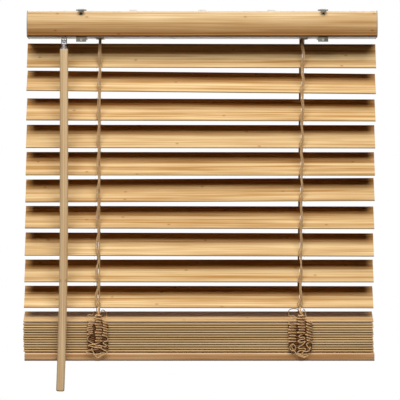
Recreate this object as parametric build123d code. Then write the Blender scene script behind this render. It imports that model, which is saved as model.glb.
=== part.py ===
from build123d import *
import math
import os

# A bamboo venetian blind, partly drawn up, with its slats tilted front edge down.
# X runs along the slats, Y points into the wall, Z is up, sizes in millimetres.
# The origin lies on the wall face, at the centre of the four wall screw holes.

# Headrail, a folded steel channel that is open on top
rail_length = 595.0
rail_depth = 57.0
rail_height = 45.5
rail_wall = 0.8
rail_lip = 5.0
rail_bend = 1.6
rail_bottom_z = -23.0
access_hole_diameter = 11.0
access_hole_spacing = 98.0

# End caps and valance
cap_thickness = 1.5
cap_plug_depth = 8.0
cap_plug_wall = 1.6
valance_height = 41.0
valance_thickness = 6.0
valance_crown = 3.6
valance_bottom_z = -21.7
clip_gap = 3.0
clip_width = 12.0
clip_positions = (-118.0, 0.0, 118.0)

# Wall brackets
bracket_sheet = 1.5
bracket_width = 17.3
bracket_inset = 91.0
bracket_spacing = rail_length - 2 * bracket_inset
bracket_clearance = 0.3
wall_hole_diameter = 5.0
wall_hole_spacing = 24.0
ceiling_hole_diameter = 5.0
ceiling_hole_back = 22.0
release_tab_height = 7.6
release_hole_diameter = 4.0
tongue_width = 9.0
tongue_drop = 4.4

# Slats
slat_length = rail_length + 2 * cap_thickness
slat_width = 50.0
slat_thickness = 3.0
slat_edge_radius = 1.2
slat_pitch = 46.0
first_slat_z = -53.2
slot_across = 14.0
slot_along = 5.0
ladder_inset = 122.5
ladder_spacing = rail_length - 2 * ladder_inset
# How far each hanging slat is tilted, and how far its right end dips, in degrees
slat_tilts = (57.0, 44.5, 49.4, 52.9, 52.8, 51.0, 49.1, 50.6, 48.5, 46.0)
slat_dips = (0.13, 0.54, 0.17, 0.07, 0.04, -0.25, 0.09, 0.15, 0.02, 0.07)
# How much lower each one hangs than an even pitch gives, as the ladders have stretched
slat_sags = (0.3, -0.2, 1.1, 0.9, 1.6, 1.0, 1.8, 2.2, 1.6, 0.3)
first_slat_shift = -1.1
shift_per_slat = -0.54

# The resting slat and the stack of flat slats below it
resting_slat_tilt = 17.0
resting_slat_drop = 34.4
stack_count = 12
stack_pitch = 4.15
stack_drop = 11.7
stack_shift = -6.8
stack_shifts = (0.0, 0.5, -0.3, 0.2, 0.6, 0.1, -0.2, 0.4, 0.9, 0.3, 1.0, 0.7)

# Bottom rail and its cord plugs
bottom_rail_height = 14.0
bottom_rail_radius = 3.0
bottom_rail_gap = 0.3
bottom_rail_shift = -4.6
plug_diameter = 12.0
plug_flange = 1.2
plug_spigot_diameter = 7.0
plug_spigot_depth = 6.0

# Cords
ladder_cord_diameter = 1.2
lift_cord_diameter = 1.4
lift_cord_bend = 3.7
edge_bend = 60.0
soft_gap = 0.3
bunch_width = 40.0
front_bunch_depth = 8.5
rear_bunch_depth = 3.8
front_bunch_top_z = -495.0
rear_bunch_top_z = -511.0
bunch_bottom_z = -570.0

# Tilt rod, drums and the cradles that carry them
tilt_rod_side = 6.0
tilt_rod_length = rail_length - 20.0
tilt_axis_z = 2.0
drum_radius = 16.2
drum_width = 14.0
drum_flange_rise = 2.3
drum_window_radius = 2.6
drum_flange = 1.5
journal_radius = 5.0
journal_clearance = 0.3
cradle_length = 28.0
cradle_base = 2.2
cradle_ear = 2.5
cradle_ear_width = 18.0
cradle_neck_wall = 1.0
cord_opening_along = 10.0
cord_opening_across = 42.0
cradle_flange = 1.2
cradle_flange_rim = 1.5

# Spring motor that balances the blind
motor_length = 130.0
motor_depth = 44.0
motor_height = 16.0
motor_corner = 3.0
motor_bush_diameter = 10.4

# Tilter, its stem, the hook and the wand
wand_inset = 62.0
wand_x = wand_inset - rail_length / 2
tilter_length = 30.0
tilter_depth = 38.0
tilter_height = 37.0
tilter_chamfer = 9.0
tilter_top_inset = 5.0
tilter_top_drop = 7.0
tilter_hub_reach = 3.0
tilter_hub_radius = 8.0
stem_diameter = 6.4
stem_slant = 40.0
stem_start_inset = 10.2
stem_start_rise = 10.0
stem_bore_clearance = 0.3
stem_end = 13.2
neck_radius = 1.3
ball_radius = 3.0
neck_reach = 4.4
ball_reach = 5.6
hook_wire = 0.9
hook_ring_radius = 4.05
hook_drop = 8.75
wand_forward = 8.6
shank_radius = 1.2
shank_length = 11.0
shank_clearance = 0.3
ferrule_drop = 13.6
ferrule_height = 7.4
ferrule_top_radius = 2.3
ferrule_spigot_radius = 3.2
ferrule_spigot_depth = 14.0
wand_radius = 7.1
wand_length = 583.0
wand_straight = 260.0
wand_bow = 6.4
wand_end_round = 2.6

# Places worked out from the sizes above
rail_back_y = -(bracket_sheet + bracket_clearance)
rail_front_y = rail_back_y - rail_depth
rail_top_z = rail_bottom_z + rail_height
centre_y = (rail_back_y + rail_front_y) / 2
valance_back_y = rail_front_y - clip_gap
stem_start_y = rail_front_y + stem_start_inset
stem_start_z = rail_bottom_z + stem_start_rise
wand_y = rail_front_y - wand_forward
ferrule_top_z = rail_bottom_z - ferrule_drop
ladder_xs = (-ladder_spacing / 2, ladder_spacing / 2)
half_width = slat_width / 2
slat_count = len(slat_tilts)
last_slat_z = first_slat_z - slat_pitch * (slat_count - 1)
resting_slat_z = last_slat_z - resting_slat_drop
stack_top_z = resting_slat_z - stack_drop
bottom_rail_top_z = stack_top_z + slat_thickness / 2 - stack_pitch * stack_count - bottom_rail_gap
bottom_rail_z = bottom_rail_top_z - bottom_rail_height / 2
lift_cord_z = rail_bottom_z + rail_wall + cradle_base + lift_cord_diameter / 2 + 0.8
stack_front_y = centre_y - half_width
stack_back_y = centre_y + half_width
stem_axis = Vector(0, -math.sin(math.radians(stem_slant)), -math.cos(math.radians(stem_slant)))


def profile(sketch, length, middle=0.0):
    """A bar of the given cross-section (its own x is Y, its own y is Z), centred on the middle."""
    return Pos(middle, 0, 0) * extrude(Plane.YZ * sketch, amount=length / 2, both=True)


def box(x_low, x_high, y_low, y_high, z_low, z_high):
    """A block between two corners."""
    size = (x_high - x_low, y_high - y_low, z_high - z_low)
    middle = ((x_low + x_high) / 2, (y_low + y_high) / 2, (z_low + z_high) / 2)
    return Pos(*middle) * Box(*size)


def rod(start, end, radius):
    """A round bar between two points."""
    along = Vector(*end) - Vector(*start)
    return Plane(origin=Vector(*start), z_dir=along) * Cylinder(
        radius, along.length, align=(Align.CENTER, Align.CENTER, Align.MIN)
    )


def write(shape, node):
    """Write one piece and say how large it is."""
    export_step(shape, "parts/" + node + ".step")
    print(node, "volume", round(shape.volume, 1))


# Headrail


def cord_opening(along, across, height):
    """The upright slot that the ladder and lift cords pass through."""
    return extrude(Rot(0, 0, 90) * SlotOverall(across, along), amount=height / 2, both=True)


def make_headrail():
    outer_low = (rail_front_y, rail_bottom_z)
    outer_high = (rail_back_y, rail_top_z)
    middle = ((outer_low[0] + outer_high[0]) / 2, (outer_low[1] + outer_high[1]) / 2)
    outer = Pos(*middle) * RectangleRounded(rail_depth, rail_height, rail_bend)
    inner = Pos(*middle) * RectangleRounded(
        rail_depth - 2 * rail_wall, rail_height - 2 * rail_wall, rail_bend - rail_wall
    )
    mouth = Pos(middle[0], rail_top_z) * Rectangle(rail_depth - 2 * rail_lip, 4 * rail_wall)
    rail = profile(outer - inner - mouth, rail_length)
    for x in ladder_xs:
        slot = cord_opening(
            cord_opening_along + 2 * cradle_neck_wall + 2 * soft_gap,
            cord_opening_across + 2 * cradle_neck_wall + 2 * soft_gap,
            4 * rail_wall,
        )
        rail -= Pos(x, centre_y, rail_bottom_z) * slot
    for side in (-1, 1):
        hole = Cylinder(access_hole_diameter / 2, 4 * rail_wall)
        rail -= Pos(side * access_hole_spacing / 2, centre_y, rail_bottom_z) * hole
    mouth_reach = stem_diameter / 2 + 2.0
    rail -= box(
        wand_x - mouth_reach, wand_x + mouth_reach,
        rail_front_y - 1, rail_front_y + tilter_chamfer + 2,
        rail_bottom_z - 1, rail_bottom_z + tilter_chamfer,
    )
    return rail


def valance_section():
    """Flat back, gently crowned front and rounded edges, drawn in the YZ plane."""
    low = valance_bottom_z
    high = low + valance_height
    face = valance_back_y - valance_thickness
    edge = valance_thickness / 2
    outline = [
        Line((valance_back_y, low), (valance_back_y, high)),
        Line((valance_back_y, high), (face + edge, high)),
        ThreePointArc(
            (face + edge, high), (face + edge * 0.25, high - edge * 0.3), (face, high - edge)
        ),
        ThreePointArc(
            (face, high - edge), (face - valance_crown, (low + high) / 2), (face, low + edge)
        ),
        ThreePointArc(
            (face, low + edge), (face + edge * 0.25, low + edge * 0.3), (face + edge, low)
        ),
        Line((face + edge, low), (valance_back_y, low)),
    ]
    return make_face(outline)


def make_valance():
    return profile(valance_section(), rail_length)


def make_end_cap(side):
    """A thin plate over the ends of headrail and valance, with a plug that grips the channel."""
    plate_low = rail_bottom_z - 0.3
    plate = Pos((rail_front_y + rail_back_y) / 2, (plate_low + rail_top_z) / 2) * RectangleRounded(
        rail_depth, rail_top_z - plate_low, rail_bend
    )
    bridge = Pos(rail_front_y, valance_bottom_z + valance_height / 2) * Rectangle(
        2 * clip_gap, valance_height
    )
    outline = plate + bridge + valance_section()
    cap = profile(outline, cap_thickness, side * (rail_length + cap_thickness) / 2)
    plug_depth_y = rail_depth - 2 * rail_wall - 2 * bracket_clearance
    plug_height = rail_height - 2 * rail_wall - 2 * bracket_clearance
    plug = RectangleRounded(plug_depth_y, plug_height, rail_bend)
    plug -= RectangleRounded(plug_depth_y - 2 * cap_plug_wall, plug_height - 2 * cap_plug_wall, 0.8)
    plug = Pos(centre_y, (rail_bottom_z + rail_top_z) / 2) * plug
    cap += profile(plug, cap_plug_depth, side * (rail_length - cap_plug_depth) / 2)
    return cap


def make_valance_clips():
    """Spring clips: a web between headrail and valance with a hook over the headrail's top lip."""
    clips = Part()
    top = valance_bottom_z + valance_height
    web_low = valance_bottom_z + 5
    hook_top = rail_top_z + 1.2
    for x in clip_positions:
        low = x - clip_width / 2
        high = x + clip_width / 2
        web = box(low, high, rail_front_y - 1.0, rail_front_y, web_low, hook_top)
        hook = box(low, high, rail_front_y, rail_front_y + 7, rail_top_z, hook_top)
        pads = Part()
        for z in (web_low + 2, top - 4):
            pads += box(low, high, valance_back_y, rail_front_y - 1.0, z - 2, z + 2)
        clips += web + hook + pads
    return clips


def make_bracket(x):
    """A folded strip: wall plate, top arm with a tongue, bottom arm with a drilled release tab."""
    low = x - bracket_width / 2
    high = x + bracket_width / 2
    sheet = bracket_sheet
    top_z = rail_top_z + bracket_clearance
    under_z = rail_bottom_z - bracket_clearance
    tab_y = rail_front_y - bracket_clearance
    face_y = valance_back_y - valance_thickness - valance_crown - bracket_clearance
    bracket = box(low, high, -sheet, 0, under_z - sheet, top_z + sheet)
    bracket += box(low, high, rail_front_y, 0, top_z, top_z + sheet)
    bracket += box(low, high, tab_y, 0, under_z - sheet, under_z)
    tab = box(low, high, tab_y - sheet, tab_y, under_z - release_tab_height, under_z)
    tab_hole_z = under_z - release_tab_height / 2 + 0.3
    tab -= rod((x, tab_y - 2 * sheet, tab_hole_z), (x, tab_y + sheet, tab_hole_z), release_hole_diameter / 2)
    bracket += tab
    bracket = fillet(bracket.edges().filter_by(Axis.X).group_by(Axis.Z)[-1].sort_by(Axis.Y)[-1], 1.2)
    # The tongue runs forward from the top arm, over the valance, and turns down in front of it
    tongue_low = x - tongue_width / 2
    tongue_high = x + tongue_width / 2
    tongue = box(tongue_low, tongue_high, face_y - sheet, rail_front_y, top_z, top_z + sheet)
    tongue += box(
        tongue_low, tongue_high, face_y - sheet, face_y, top_z + sheet - tongue_drop - sheet, top_z + sheet
    )
    bend = tongue.edges().filter_by(Axis.X).group_by(Axis.Z)[-1].sort_by(Axis.Y)[0]
    tongue = fillet(bend, 1.3)
    bracket += tongue
    for side in (-1, 1):
        z = side * wall_hole_spacing / 2
        bracket -= rod((x, -2 * sheet, z), (x, sheet, z), wall_hole_diameter / 2)
    bracket -= Pos(x, -ceiling_hole_back, top_z) * Cylinder(ceiling_hole_diameter / 2, 4 * sheet)
    return bracket


# Tilt mechanism inside the headrail


def make_tilt_rod():
    return profile(Pos(centre_y, tilt_axis_z) * Rectangle(tilt_rod_side, tilt_rod_side), tilt_rod_length)


def make_drum(x):
    """A grooved drum that the ladder's front and rear cords hang from."""
    turned = rod((x - drum_width / 2, 0, 0), (x + drum_width / 2, 0, 0), drum_radius)
    for side in (-1, 1):
        inner = x + side * drum_width / 2
        outer = inner + side * drum_flange
        turned += rod((inner, 0, 0), (outer, 0, 0), drum_radius + drum_flange_rise)
        reach = x + side * (cradle_length / 2 + 1)
        turned += rod((outer, 0, 0), (reach, 0, 0), journal_radius)
    turned -= profile(Rectangle(tilt_rod_side + 0.1, tilt_rod_side + 0.1), 2 * cradle_length, x)
    window_place = (journal_radius + drum_radius) / 2
    across = Rot(0, 90, 0) * Cylinder(drum_window_radius, 2 * cradle_length)
    for angle in range(0, 360, 60):
        turned -= Pos(x, 0, 0) * Rot(angle, 0, 0) * Pos(0, window_place, 0) * across
    return Pos(0, centre_y, tilt_axis_z) * turned


def make_cradle(x):
    """Base plate with two notched ears, and a neck that clips through the headrail's slot."""
    floor_z = rail_bottom_z + rail_wall
    top_z = floor_z + cradle_base
    half = cradle_length / 2
    reach = rail_depth / 2 - rail_bend - bracket_clearance
    cradle = box(x - half, x + half, centre_y - reach, centre_y + reach, floor_z, top_z)
    for side in (-1, 1):
        outer = x + side * half
        inner = outer - side * cradle_ear
        ear = box(
            min(inner, outer), max(inner, outer),
            centre_y - cradle_ear_width / 2, centre_y + cradle_ear_width / 2,
            top_z, tilt_axis_z + journal_radius,
        )
        cradle += ear
    seat = journal_radius + journal_clearance
    cradle -= rod((x - half - 1, centre_y, tilt_axis_z), (x + half + 1, centre_y, tilt_axis_z), seat)
    cradle -= box(
        x - half - 1, x + half + 1, centre_y - seat, centre_y + seat, tilt_axis_z, tilt_axis_z + 3 * seat
    )
    # The lift cord runs to the motor through a notch at the foot of the inner ear
    cradle -= box(
        x - half - 1, x + half + 1, centre_y - lift_cord_diameter, centre_y + lift_cord_diameter,
        top_z, lift_cord_z + lift_cord_diameter,
    )
    neck_height = floor_z - rail_bottom_z + cradle_flange + bracket_clearance
    neck = cord_opening(
        cord_opening_along + 2 * cradle_neck_wall, cord_opening_across + 2 * cradle_neck_wall, neck_height
    )
    cradle += Pos(x, centre_y, floor_z - neck_height / 2) * neck
    rim = cord_opening(
        cord_opening_along + 2 * cradle_neck_wall + 2 * cradle_flange_rim,
        cord_opening_across + 2 * cradle_neck_wall + 2 * cradle_flange_rim,
        cradle_flange,
    )
    cradle += Pos(x, centre_y, floor_z - neck_height + cradle_flange / 2) * rim
    cradle -= Pos(x, centre_y, floor_z) * cord_opening(cord_opening_along, cord_opening_across, 30)
    return cradle


def make_spring_motor():
    """A closed housing on the channel's floor, with two bushes in the access holes."""
    floor_z = rail_bottom_z + rail_wall
    outline = RectangleRounded(motor_length, motor_depth, motor_corner)
    housing = Pos(0, centre_y, floor_z) * extrude(outline, amount=motor_height)
    housing = chamfer(housing.edges().group_by(Axis.Z)[-1], 1.0)
    for side in (-1, 1):
        bush = Pos(side * access_hole_spacing / 2, centre_y, floor_z - rail_wall / 2)
        housing += bush * Cylinder(motor_bush_diameter / 2, rail_wall)
        recess = Pos(side * access_hole_spacing / 2, centre_y, floor_z)
        housing -= recess * Cylinder(motor_bush_diameter / 2 - 1.2, 2 * rail_wall + 6)
    return housing


# Tilter, stem, hook and wand


def stem_point(distance):
    """A point on the stem's slanting axis, at a distance from where the stem enters the tilter."""
    return Vector(wand_x, stem_start_y, stem_start_z) + stem_axis * distance


def make_tilter():
    """A closed gear housing round the tilt rod, with a socket for the slanting stem."""
    floor_z = rail_bottom_z + rail_wall
    front = rail_front_y + rail_wall + bracket_clearance
    section = Polygon(
        (front + tilter_depth, floor_z),
        (front + tilter_depth, floor_z + tilter_height),
        (front + tilter_top_inset, floor_z + tilter_height),
        (front, floor_z + tilter_height - tilter_top_drop),
        (front, floor_z + tilter_chamfer),
        (front + tilter_chamfer, floor_z),
        align=None,
    )
    tilter = profile(section, tilter_length, wand_x)
    for side in (-1, 1):
        inner = wand_x + side * tilter_length / 2
        outer = inner + side * tilter_hub_reach
        tilter += rod((inner, centre_y, tilt_axis_z), (outer, centre_y, tilt_axis_z), tilter_hub_radius)
    bore = tilt_rod_side / math.sqrt(2) + journal_clearance
    tilter -= rod(
        (wand_x - tilter_length, centre_y, tilt_axis_z), (wand_x + tilter_length, centre_y, tilt_axis_z), bore
    )
    tilter -= rod(stem_point(0), stem_point(stem_end), stem_diameter / 2 + stem_bore_clearance)
    return tilter


def make_stem():
    """A clear turned stem that ends in a narrow neck and a ball."""
    end = stem_point(stem_end)
    shoulder = 1.2
    stem = rod(stem_point(stem_bore_clearance), end - stem_axis * shoulder, stem_diameter / 2)
    taper = Plane(origin=end - stem_axis * shoulder, z_dir=stem_axis) * Cone(
        stem_diameter / 2, neck_radius + 0.6, shoulder, align=(Align.CENTER, Align.CENTER, Align.MIN)
    )
    stem += taper
    ball_centre = stem_point(stem_end + neck_reach + ball_reach)
    stem += rod(end, ball_centre, neck_radius)
    stem += Pos(ball_centre) * Sphere(ball_radius)
    return stem


def hook_pivot():
    """The middle of the stem's neck, which the hook swings about."""
    return stem_point(stem_end + neck_reach)


def make_hook():
    """A ring round the neck, two arms past the ball, and a shank that the wand turns on."""
    pivot = hook_pivot()
    hook = Plane(origin=pivot, z_dir=stem_axis) * Torus(hook_ring_radius, hook_wire)
    bar_z = pivot.Z - hook_drop
    corners = []
    for side in (-1, 1):
        top = Vector(pivot.X + side * hook_ring_radius, pivot.Y, pivot.Z)
        corner = Vector(pivot.X + side * hook_ring_radius, wand_y, bar_z)
        hook += rod(top, corner, hook_wire)
        hook += Pos(corner) * Sphere(hook_wire)
        corners.append(corner)
    hook += rod(corners[0], corners[1], hook_wire)
    hook += rod((wand_x, wand_y, bar_z), (wand_x, wand_y, bar_z - shank_length), shank_radius)
    return hook


def make_ferrule():
    """A clear cone that caps the wand and holds the hook's shank."""
    base_z = ferrule_top_z - ferrule_height
    ferrule = Pos(wand_x, wand_y, base_z) * Cone(
        wand_radius - 0.4, ferrule_top_radius, ferrule_height,
        align=(Align.CENTER, Align.CENTER, Align.MIN),
    )
    ferrule += rod(
        (wand_x, wand_y, base_z), (wand_x, wand_y, base_z - ferrule_spigot_depth), ferrule_spigot_radius
    )
    shank_end = hook_pivot().Z - hook_drop - shank_length
    ferrule -= rod(
        (wand_x, wand_y, ferrule_top_z + 1), (wand_x, wand_y, shank_end - 1),
        shank_radius + shank_clearance,
    )
    return ferrule


def make_wand():
    """A bamboo rod, straight at the top and gently bowed to the left further down."""
    top_z = ferrule_top_z - ferrule_height
    bend_z = top_z - wand_straight
    bottom_z = top_z - wand_length
    arc_height = bend_z - bottom_z
    path = Line((wand_x, wand_y, top_z), (wand_x, wand_y, bend_z))
    radius = (arc_height**2 + wand_bow**2) / (2 * wand_bow)
    turn = math.asin(arc_height / radius)
    middle = (
        wand_x - radius * (1 - math.cos(turn / 2)),
        wand_y,
        bend_z - radius * math.sin(turn / 2),
    )
    path += ThreePointArc((wand_x, wand_y, bend_z), middle, (wand_x - wand_bow, wand_y, bottom_z))
    section = Plane(origin=(wand_x, wand_y, top_z), z_dir=(0, 0, -1)) * Circle(wand_radius)
    wand = sweep(section, path)
    wand = fillet(wand.edges().sort_by(Axis.Z)[0], wand_end_round)
    wand = fillet(wand.edges().sort_by(Axis.Z)[-1], 0.6)
    wand -= rod(
        (wand_x, wand_y, top_z + 1), (wand_x, wand_y, top_z - ferrule_spigot_depth),
        ferrule_spigot_radius,
    )
    return wand


# Slats, bottom rail and cords


def make_slat():
    """One bamboo slat, level and centred, with a slot at each ladder."""
    section = RectangleRounded(slat_width, slat_thickness, slat_edge_radius)
    slat = profile(section, slat_length)
    for x in ladder_xs:
        slot = extrude(Rot(0, 0, 90) * SlotOverall(slot_across, slot_along), amount=slat_thickness, both=True)
        slat -= Pos(x, 0, 0) * slot
    return slat


def slat_shift(index):
    """How far the hanging slats have crept sideways, counted from the top."""
    return first_slat_shift + shift_per_slat * index


def hanging_slat_z(index):
    return first_slat_z - slat_pitch * index - slat_sags[index]


def hanging_slat_place(index):
    z = hanging_slat_z(index)
    place = Location((slat_shift(index), centre_y, z))
    return place * Rot(0, slat_dips[index], 0) * Rot(slat_tilts[index], 0, 0)


def resting_slat_place():
    return Location((slat_shift(slat_count), centre_y, resting_slat_z)) * Rot(resting_slat_tilt, 0, 0)


def stack_slat_place(index):
    z = stack_top_z - stack_pitch * index
    return Location((stack_shift + stack_shifts[index % len(stack_shifts)], centre_y, z))


def edge_point(x, tilt, middle_z, side):
    """Where a ladder cord passes the edge of a tilted slat, side -1 in front and 1 behind."""
    angle = math.radians(tilt)
    across = half_width - slat_edge_radius
    through = slat_thickness / 2 - slat_edge_radius
    out = across * math.cos(angle) + through * math.sin(angle) + slat_edge_radius
    rise = across * math.sin(angle) - through * math.cos(angle)
    return (x, centre_y + side * (out + soft_gap + ladder_cord_diameter / 2), middle_z + side * rise)


def arc_radii(points):
    """For each inner point, an arc as large as its two runs allow, or the bend at a slat's edge."""
    radii = []
    for before, here, after in zip(points, points[1:], points[2:]):
        run_in = Vector(*here) - Vector(*before)
        run_out = Vector(*after) - Vector(*here)
        half_turn = math.radians(run_in.get_angle(run_out)) / 2
        largest = 0.45 * min(run_in.length, run_out.length) / math.tan(half_turn)
        radii.append(min(largest, edge_bend))
    return radii


def cord(points, diameter):
    """A round cord along straight runs joined by tangent arcs."""
    radii = arc_radii(points)
    path = FilletPolyline(*points, radius=radii)
    start = Plane(origin=points[0], z_dir=Vector(*points[1]) - Vector(*points[0]))
    tube = sweep(start * Circle(diameter / 2), path)
    expected = math.pi * diameter**2 / 4 * path.length
    print("cord length", round(path.length, 1), "radii", [round(r, 1) for r in radii],
          "volume share", round(tube.volume / expected, 4))
    return tube


def make_ladder_cord(ladder_x, side):
    """One upright of a ladder, from its drum past every slat edge to the bunched slack."""
    drum_y = centre_y + side * (drum_radius + drum_flange_rise / 2)
    points = [(ladder_x, drum_y, tilt_axis_z)]
    for index in range(slat_count):
        dip = ladder_x * math.tan(math.radians(slat_dips[index]))
        z = hanging_slat_z(index) - dip
        points.append(edge_point(ladder_x + slat_shift(index), slat_tilts[index], z, side))
    bunch_x = ladder_x + slat_shift(slat_count)
    if side < 0:
        end_z = front_bunch_top_z + ladder_cord_diameter / 2
        points.append((bunch_x, stack_front_y - front_bunch_depth / 2, end_z))
    else:
        points.append(edge_point(bunch_x, resting_slat_tilt, resting_slat_z, side))
        end_z = rear_bunch_top_z + ladder_cord_diameter / 2
        points.append((bunch_x, stack_back_y + soft_gap + rear_bunch_depth / 2, end_z))
    return cord(points, ladder_cord_diameter)


def make_bunch(ladder_x, side):
    """The outer shape of the ladder's slack, folded up against the stack."""
    x = ladder_x + slat_shift(slat_count)
    if side < 0:
        near_y = stack_front_y - soft_gap
        depth = front_bunch_depth
        top_z = front_bunch_top_z
    else:
        near_y = stack_back_y + soft_gap
        depth = rear_bunch_depth
        top_z = rear_bunch_top_z
    far_y = near_y + side * depth
    bunch = box(
        x - bunch_width / 2, x + bunch_width / 2, min(near_y, far_y), max(near_y, far_y),
        bunch_bottom_z, top_z,
    )
    return fillet(bunch.edges().filter_by(Axis.Y), 6.0)


def make_lift_cord(ladder_x):
    """A lift cord, from the spring motor, down through every slot, to its plug in the bottom rail."""
    side = math.copysign(1, ladder_x)
    end_z = bottom_rail_top_z - bottom_rail_height + plug_spigot_depth
    end_x = ladder_x + bottom_rail_shift
    points = [
        (side * motor_length / 2, centre_y, lift_cord_z),
        (ladder_x, centre_y, lift_cord_z),
        (ladder_x + slat_shift(slat_count), centre_y, resting_slat_z),
        (end_x, centre_y, end_z),
    ]
    path = FilletPolyline(*points, radius=[lift_cord_bend, edge_bend])
    start = Plane(origin=points[0], z_dir=Vector(side, 0, 0))
    tube = sweep(start * Circle(lift_cord_diameter / 2), path)
    print("lift cord length", round(path.length, 1))
    return tube


def make_bottom_rail():
    """A solid bamboo rail, bored for the lift cords and for their plugs."""
    section = Pos(centre_y, bottom_rail_z) * RectangleRounded(
        slat_width, bottom_rail_height, bottom_rail_radius
    )
    rail = profile(section, slat_length, bottom_rail_shift)
    low_z = bottom_rail_top_z - bottom_rail_height
    for x in ladder_xs:
        at = x + bottom_rail_shift
        rail -= rod((at, centre_y, low_z - 1), (at, centre_y, bottom_rail_top_z + 1), 2.0)
        rail -= rod(
            (at, centre_y, low_z - 1), (at, centre_y, low_z + plug_spigot_depth),
            plug_spigot_diameter / 2,
        )
    return rail


def make_plug(ladder_x):
    """A button under the bottom rail that holds the end of the lift cord."""
    x = ladder_x + bottom_rail_shift
    low_z = bottom_rail_top_z - bottom_rail_height
    flange = Pos(x, centre_y, low_z - plug_flange / 2) * Cylinder(plug_diameter / 2, plug_flange)
    flange = fillet(flange.edges().sort_by(Axis.Z)[0], 0.7)
    spigot = rod((x, centre_y, low_z), (x, centre_y, low_z + plug_spigot_depth), plug_spigot_diameter / 2)
    return flange + spigot


os.makedirs("parts", exist_ok=True)

write(make_headrail(), "headrail")
write(make_valance(), "valance")
write(make_valance_clips(), "valance_clips")
write(make_tilt_rod(), "tilt_rod")
write(make_spring_motor(), "spring_motor")
write(make_tilter(), "tilter_housing")
write(make_stem(), "tilter_stem")
write(make_hook(), "wand_hook")
write(make_ferrule(), "wand_ferrule")
write(make_wand(), "tilt_wand")
write(make_bottom_rail(), "bottom_rail")

for name, side in (("left", -1), ("right", 1)):
    ladder_x = side * ladder_spacing / 2
    write(make_end_cap(side), "end_cap_" + name)
    write(make_bracket(side * bracket_spacing / 2), "bracket_" + name)
    write(make_cradle(ladder_x), "cradle_" + name)
    write(make_drum(ladder_x), "ladder_drum_" + name)
    write(make_lift_cord(ladder_x), "lift_cord_" + name)
    write(make_plug(ladder_x), "cord_plug_" + name)
    write(make_ladder_cord(ladder_x, -1), "ladder_front_" + name)
    write(make_ladder_cord(ladder_x, 1), "ladder_rear_" + name)
    write(make_bunch(ladder_x, -1), "ladder_slack_front_" + name)
    write(make_bunch(ladder_x, 1), "ladder_slack_rear_" + name)

places = [hanging_slat_place(index) for index in range(slat_count)]
places.append(resting_slat_place())
places += [stack_slat_place(index) for index in range(stack_count)]
blank = make_slat()
for number, place in enumerate(places, start=1):
    write(place * blank, f"slat_{number:02d}")
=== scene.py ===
# %% [markdown]
# # A bamboo venetian blind with hanging ladders
# The blind hangs from two wall brackets, half drawn up, with ten slats tilted and the rest
# stacked on the bottom rail. The solids come packed from the CAD work, in metres, with their
# origin at the centre of the wall screw holes. This script gives them finishes that are made
# of nodes, and adds what a solid can't show: braided cords, their rungs and the loose slack.

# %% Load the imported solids
import math

import bmesh
import bpy
from mathutils import Matrix, Vector


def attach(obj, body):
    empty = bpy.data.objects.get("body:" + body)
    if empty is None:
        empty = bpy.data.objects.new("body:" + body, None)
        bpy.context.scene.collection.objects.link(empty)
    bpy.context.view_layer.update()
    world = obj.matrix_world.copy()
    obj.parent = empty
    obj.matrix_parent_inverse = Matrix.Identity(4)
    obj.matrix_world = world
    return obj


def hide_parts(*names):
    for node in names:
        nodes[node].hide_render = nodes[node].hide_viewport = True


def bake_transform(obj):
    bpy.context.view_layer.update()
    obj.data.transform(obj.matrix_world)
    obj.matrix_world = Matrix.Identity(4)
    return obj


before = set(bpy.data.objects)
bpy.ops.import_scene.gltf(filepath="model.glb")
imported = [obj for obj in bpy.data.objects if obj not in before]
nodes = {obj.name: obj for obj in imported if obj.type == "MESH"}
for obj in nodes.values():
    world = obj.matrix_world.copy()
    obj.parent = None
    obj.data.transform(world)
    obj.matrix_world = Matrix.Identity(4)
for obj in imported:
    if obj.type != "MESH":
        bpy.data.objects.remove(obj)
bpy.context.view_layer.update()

print("pieces from the solids:", len(nodes))

# %% [markdown]
# ## Camera
# A catalogue picture of a blind is taken from far away with a long lens, level with its
# middle, so that upright edges stay upright and the slats hardly change size from top to
# bottom. A long lens five metres away gives that. An orthographic camera would also keep
# the lines straight, but it would hide the thin strip of the headrail's underside.

# %% Camera
camera_data = bpy.data.cameras.new("camera")
camera_data.lens = 262.1
camera_data.sensor_width = 36.0
camera_data.clip_end = 50.0
camera = bpy.data.objects.new("camera", camera_data)
camera.location = (-0.0037, -5.0303, -0.301)
camera.rotation_euler = (math.radians(90), 0, 0)
bpy.context.scene.collection.objects.link(camera)
bpy.context.scene.camera = camera
print("camera at", tuple(round(x, 3) for x in camera.location))

# %% [markdown]
# ## Sizes that the cords need
# The cords follow the slats, so the script repeats the sizes that place them. Every slat
# hangs 46 mm below the one above and has its own tilt, and each has crept a little to the
# side, as slats on real ladders do.

# %% Sizes of the slats and their places
centre_y = -0.0303
half_width = 0.025
slat_thickness = 0.003
edge_radius = 0.0012
slat_pitch = 0.046
first_slat_z = -0.0532
slat_tilts = (57.0, 44.5, 49.4, 52.9, 52.8, 51.0, 49.1, 50.6, 48.5, 46.0)
slat_dips = (0.13, 0.54, 0.17, 0.07, 0.04, -0.25, 0.09, 0.15, 0.02, 0.07)
slat_sags = (0.3, -0.2, 1.1, 0.9, 1.6, 1.0, 1.8, 2.2, 1.6, 0.3)
resting_tilt = 17.0
resting_drop = 0.0344
resting_z = first_slat_z - slat_pitch * 9 - resting_drop
stack_drop = 0.0117
stack_top_z = resting_z - stack_drop
stack_pitch = 0.00415
stack_shifts = (0.0, 0.5, -0.3, 0.2, 0.6, 0.1, -0.2, 0.4, 0.9, 0.3, 1.0, 0.7)
ladder_x = 0.175
lift_cord = 0.0014
soft_gap = 0.0003
stack_count = 12
rail_gap = 0.0003
rail_top_z = stack_top_z + slat_thickness / 2 - stack_pitch * stack_count - rail_gap


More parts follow.
